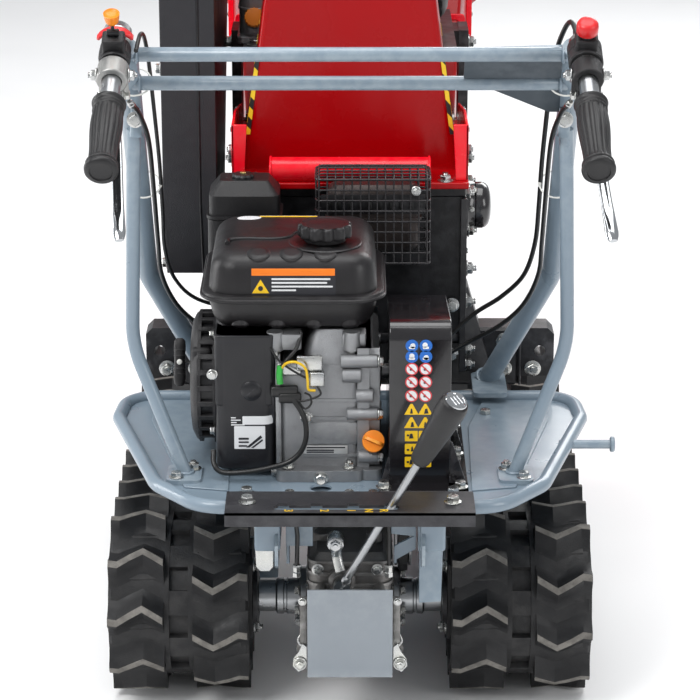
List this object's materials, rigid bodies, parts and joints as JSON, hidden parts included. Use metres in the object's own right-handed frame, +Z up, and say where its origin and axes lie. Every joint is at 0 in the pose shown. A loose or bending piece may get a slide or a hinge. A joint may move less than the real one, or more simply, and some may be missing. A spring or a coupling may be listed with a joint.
{
  "type": "tracked wood chipper",
  "caption": "Walk-behind tracked wood chipper with a drive engine, handlebars, gear lever, red discharge chute, drum chipper with its own engine and an infeed hopper.",
  "frame": {"origin": "on the ground at the middle of the bounding box", "axes": "+X is the operator's right, +Y the direction of travel, +Z up"},
  "size_m": [0.667, 1.7829, 1.4332],
  "materials": {
    "painted_steel": "satin",
    "black_steel": "satin",
    "red_steel": "gloss",
    "rubber": "matte",
    "black_plastic": "satin",
    "cable_sheath": "satin",
    "orange_plastic": "gloss",
    "red_plastic": "gloss",
    "cast_aluminium": "satin",
    "steel": "satin",
    "chrome": "polished"
  },
  "bodies": {
    "root": {"chassis_frame": "painted_steel", "platform": "painted_steel", "handlebar": "painted_steel", "brace_left": "painted_steel", "brace_right": "painted_steel", "transmission_cover": "painted_steel", "gear_selector_plate": "black_steel", "muffler_guard": "black_steel", "cross_beam": "black_steel", "chipper_housing": "black_steel", "chipper_belt_guard": "black_steel", "bearing_left": "black_steel", "bearing_right": "black_steel", "discharge_chute": "red_steel", "infeed_hopper": "red_steel", "chipper_tank": "red_steel", "track_left": "rubber", "track_right": "rubber", "grip_left": "rubber", "grip_right": "rubber", "drive_belt": "rubber", "chipper_belt": "rubber", "feed_curtain": "rubber", "fan_shroud": "black_plastic", "fuel_tank": "black_plastic", "air_filter": "black_plastic", "left_control_housing": "black_plastic", "right_control_housing": "black_plastic", "drive_belt_guard": "black_plastic", "cable_clutch_left": "cable_sheath", "cable_clutch_right": "cable_sheath", "cable_throttle": "cable_sheath", "engine_block": "cast_aluminium", "transmission_case": "cast_aluminium", "axle_housing_left": "cast_aluminium", "axle_housing_right": "cast_aluminium", "chipper_engine": "cast_aluminium", "muffler": "steel"},
    "sprocket_left": {"sprocket_left": "steel"},
    "idler_left": {"idler_left": "black_steel"},
    "roller_rear_left": {"roller_rear_left": "black_steel"},
    "roller_front_left": {"roller_front_left": "black_steel"},
    "sprocket_right": {"sprocket_right": "steel"},
    "idler_right": {"idler_right": "black_steel"},
    "roller_rear_right": {"roller_rear_right": "black_steel"},
    "roller_front_right": {"roller_front_right": "black_steel"},
    "engine_pulley": {"engine_pulley": "steel"},
    "transmission_pulley": {"transmission_pulley": "steel"},
    "chipper_engine_pulley": {"chipper_engine_pulley": "steel"},
    "rotor": {"rotor": "steel"},
    "gear_lever": {"gear_lever": "black_plastic"},
    "clutch_lever_left": {"clutch_lever_left": "chrome"},
    "clutch_lever_right": {"clutch_lever_right": "chrome"},
    "throttle_lever": {"throttle_lever": "orange_plastic"},
    "stop_button": {"stop_button": "red_plastic"},
    "recoil_handle": {"recoil_handle": "black_plastic"},
    "fuel_cap": {"fuel_cap": "black_plastic"},
    "dipstick": {"dipstick": "orange_plastic"},
    "deflector": {"deflector": "red_steel"},
    "hopper_table": {"hopper_table": "red_steel"}
  },
  "joints": [
    {"name": "sprocket_left_spin", "type": "hinge", "parent": "root", "child": "sprocket_left", "pos_m": [-0.22, -0.4685, 0.122], "axis": [1, 0, 0], "continuous": true},
    {"name": "idler_left_spin", "type": "hinge", "parent": "root", "child": "idler_left", "pos_m": [-0.224, 0.1615, 0.122], "axis": [1, 0, 0], "continuous": true},
    {"name": "roller_rear_left_spin", "type": "hinge", "parent": "root", "child": "roller_rear_left", "pos_m": [-0.224, -0.2585, 0.0708], "axis": [1, 0, 0], "continuous": true},
    {"name": "roller_front_left_spin", "type": "hinge", "parent": "root", "child": "roller_front_left", "pos_m": [-0.224, -0.0485, 0.0708], "axis": [1, 0, 0], "continuous": true},
    {"name": "sprocket_right_spin", "type": "hinge", "parent": "root", "child": "sprocket_right", "pos_m": [0.22, -0.4685, 0.122], "axis": [1, 0, 0], "continuous": true},
    {"name": "idler_right_spin", "type": "hinge", "parent": "root", "child": "idler_right", "pos_m": [0.224, 0.1615, 0.122], "axis": [1, 0, 0], "continuous": true},
    {"name": "roller_rear_right_spin", "type": "hinge", "parent": "root", "child": "roller_rear_right", "pos_m": [0.224, -0.2585, 0.0708], "axis": [1, 0, 0], "continuous": true},
    {"name": "roller_front_right_spin", "type": "hinge", "parent": "root", "child": "roller_front_right", "pos_m": [0.224, -0.0485, 0.0708], "axis": [1, 0, 0], "continuous": true},
    {"name": "engine_pulley_spin", "type": "hinge", "parent": "root", "child": "engine_pulley", "pos_m": [0.069, -0.4885, 0.441], "axis": [1, 0, 0], "continuous": true},
    {"name": "transmission_pulley_spin", "type": "hinge", "parent": "root", "child": "transmission_pulley", "pos_m": [0.069, -0.4485, 0.216], "axis": [1, 0, 0], "continuous": true},
    {"name": "chipper_engine_pulley_spin", "type": "hinge", "parent": "root", "child": "chipper_engine_pulley", "pos_m": [-0.2135, 0.1315, 0.866], "axis": [1, 0, 0], "continuous": true},
    {"name": "rotor_spin", "type": "hinge", "parent": "root", "child": "rotor", "pos_m": [0, -0.0685, 0.546], "axis": [1, 0, 0], "continuous": true},
    {"name": "gear_lever_shift", "type": "hinge", "parent": "root", "child": "gear_lever", "pos_m": [-0.01, -0.6645, 0.218], "axis": [0, 1, 0], "range_deg": [-53, 0]},
    {"name": "clutch_lever_left_squeeze", "type": "hinge", "parent": "root", "child": "clutch_lever_left", "pos_m": [-0.26924, -0.72283, 0.85275], "axis": [-1, 0, 0], "range_deg": [0, 10.5], "stiffness_Nm_per_rad": 3, "springref_deg": -8.59},
    {"name": "clutch_lever_right_squeeze", "type": "hinge", "parent": "root", "child": "clutch_lever_right", "pos_m": [0.26924, -0.72283, 0.85275], "axis": [-1, 0, 0], "range_deg": [0, 10.5], "stiffness_Nm_per_rad": 3, "springref_deg": -8.59},
    {"name": "throttle_lever_turn", "type": "hinge", "parent": "root", "child": "throttle_lever", "pos_m": [-0.26873, -0.72464, 0.92526], "axis": [-1, 0, 0], "range_deg": [0, 50]},
    {"name": "stop_button_press", "type": "slide", "parent": "root", "child": "stop_button", "axis": [0, 0.4634, -0.8861], "range_m": [0, 0.004], "stiffness_N_per_m": 800, "springref_m": -0.002},
    {"name": "recoil_handle_pull", "type": "slide", "parent": "root", "child": "recoil_handle", "axis": [0, -0.9404, 0.3401], "range_m": [0, 0.4], "stiffness_N_per_m": 40, "springref_m": -0.1},
    {"name": "fuel_cap_turn", "type": "hinge", "parent": "root", "child": "fuel_cap", "pos_m": [-0.031, -0.5165, 0.6223], "axis": [0, 0, 1], "range_deg": [0, 100]},
    {"name": "dipstick_turn", "type": "hinge", "parent": "root", "child": "dipstick", "pos_m": [0.029, -0.59515, 0.38392], "axis": [0, -0.9023, 0.4311], "range_deg": [0, 360]},
    {"name": "deflector_tilt", "type": "hinge", "parent": "root", "child": "deflector", "pos_m": [0, 0.02718, 1.42694], "axis": [-1, 0, 0], "range_deg": [-15, 35]},
    {"name": "hopper_table_fold", "type": "hinge", "parent": "root", "child": "hopper_table", "pos_m": [0, 0.7795, 0.76], "axis": [1, 0, 0], "range_deg": [0, 85]}
  ],
  "couplings": [
    {"joint": "idler_left_spin", "follows": "sprocket_left_spin", "ratio": 1},
    {"joint": "roller_rear_left_spin", "follows": "sprocket_left_spin", "ratio": 2.3},
    {"joint": "roller_front_left_spin", "follows": "sprocket_left_spin", "ratio": 2.3},
    {"joint": "idler_right_spin", "follows": "sprocket_right_spin", "ratio": 1},
    {"joint": "roller_rear_right_spin", "follows": "sprocket_right_spin", "ratio": 2.3},
    {"joint": "roller_front_right_spin", "follows": "sprocket_right_spin", "ratio": 2.3},
    {"joint": "transmission_pulley_spin", "follows": "engine_pulley_spin", "ratio": 0.69},
    {"joint": "rotor_spin", "follows": "chipper_engine_pulley_spin", "ratio": 0.69}
  ]
}
